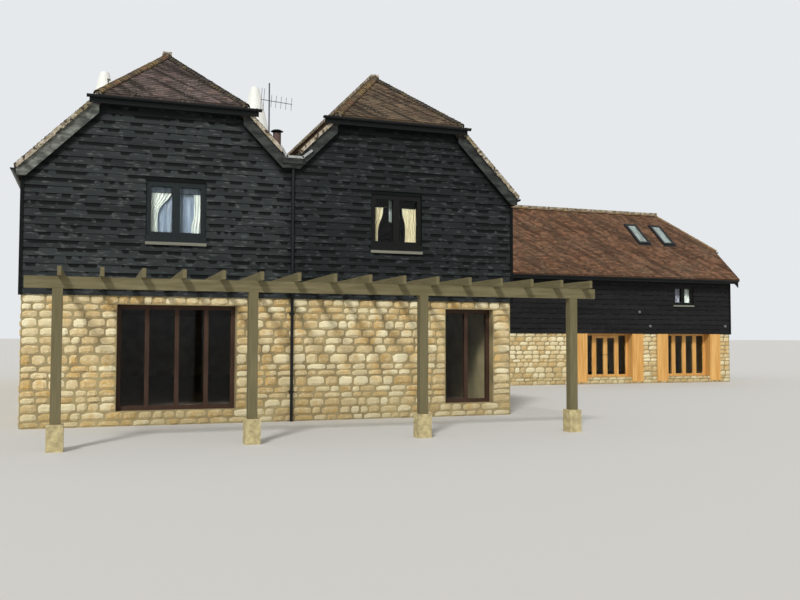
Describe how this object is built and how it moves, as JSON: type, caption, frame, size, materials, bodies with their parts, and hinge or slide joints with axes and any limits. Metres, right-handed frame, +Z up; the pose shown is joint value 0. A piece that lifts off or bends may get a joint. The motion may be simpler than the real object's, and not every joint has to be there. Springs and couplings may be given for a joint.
{
  "type": "oast house",
  "caption": "Black-boarded oast house with half-hipped twin gables, round kilns under turning white cowls, a long wing with oak screens and a pergola.",
  "frame": {"origin": "middle of the front stone wall's foot, below the valley between the two gables", "axes": "-Y out of the front gables, +X along the wing, +Z up; z = 0 is the lowest ground"},
  "size_m": [28.8519, 27.76, 13.3464],
  "materials": {
    "ragstone": "rough laid ragstone with pale mortar",
    "black_boards": "tarred feather-edge boards",
    "gutter_plastic": "black half-round rainwater goods",
    "lead": "dull grey sheet",
    "floor_boards": "worn boards",
    "floor_tiles": "plain floor tiles",
    "clay_tiles": "weathered plain clay tiles with lichen",
    "window_glass": "clear panes",
    "sill_wood": "weathered grey sill",
    "dark_oak": "dark stained joinery",
    "white_boards": "white painted boards",
    "brick": "red brick with a terracotta and metal flue",
    "aerial_metal": "dull grey tube",
    "flashing": "dark grey frames",
    "fresh_oak": "fresh orange oak",
    "dark_steel": "dark steel",
    "lamp_glass": "frosted lamp glass",
    "grey_oak": "silvered pergola timber"
  },
  "bodies": {
    "building": {"front_wall": "ragstone", "rear_wall": "ragstone", "left_wall": "ragstone", "right_wall": "ragstone", "front_left_gable": "black_boards", "front_right_gable": "black_boards", "rear_left_gable": "black_boards", "rear_right_gable": "black_boards", "left_side_boards": "black_boards", "right_side_boards": "black_boards", "ground_floor": "floor_tiles", "upper_floor": "floor_boards", "left_roof": "clay_tiles", "right_roof": "clay_tiles", "bargeboards": "black_boards", "fascias": "black_boards", "gutters": "gutter_plastic", "valley_gutter": "lead", "downpipe": "gutter_plastic", "window_frames": "black_boards", "window_glass": "window_glass", "window_sills": "sill_wood", "front_screens": "dark_oak", "front_screen_glass": "window_glass", "left_kiln_wall": "ragstone", "right_kiln_wall": "ragstone", "left_kiln_roof": "clay_tiles", "right_kiln_roof": "clay_tiles", "cowl_curbs": "white_boards", "chimney": "brick", "aerial": "aerial_metal", "wing_front_wall": "ragstone", "wing_rear_wall": "ragstone", "wing_end_wall": "ragstone", "wing_front_boards": "black_boards", "wing_rear_boards": "black_boards", "wing_end_boards": "black_boards", "wing_roof": "clay_tiles", "roof_windows": "flashing", "roof_window_glass": "window_glass", "oak_posts": "fresh_oak", "fixed_screens": "fresh_oak", "fixed_screen_glass": "window_glass", "door_hinges": "dark_steel", "wall_lamps": "lamp_glass", "pergola_posts": "grey_oak", "pergola_pads": "ragstone", "pergola_beam": "grey_oak", "pergola_rafters": "grey_oak"},
    "left_cowl": {"left_cowl": "white_boards"},
    "right_cowl": {"right_cowl": "white_boards"},
    "left_door": {"left_door": "fresh_oak", "left_door_glass": "window_glass", "left_door_fittings": "dark_steel"},
    "right_door": {"right_door": "fresh_oak", "right_door_glass": "window_glass", "right_door_fittings": "dark_steel"}
  },
  "joints": [
    {"name": "left_cowl_turn", "type": "hinge", "parent": "building", "child": "left_cowl", "pos_m": [-3.73, 20.4, 11.016], "axis": [0, 0, 1], "continuous": true},
    {"name": "right_cowl_turn", "type": "hinge", "parent": "building", "child": "right_cowl", "pos_m": [2.806, 20.4, 11.016], "axis": [0, 0, 1], "continuous": true},
    {"name": "left_door_hinge", "type": "hinge", "parent": "building", "child": "left_door", "pos_m": [15.213, 11.715, 1.1], "axis": [0, 0, 1], "range_deg": [0, 90]},
    {"name": "right_door_hinge", "type": "hinge", "parent": "building", "child": "right_door", "pos_m": [16.267, 11.715, 1.1], "axis": [0, 0, -1], "range_deg": [0, 90]}
  ]
}
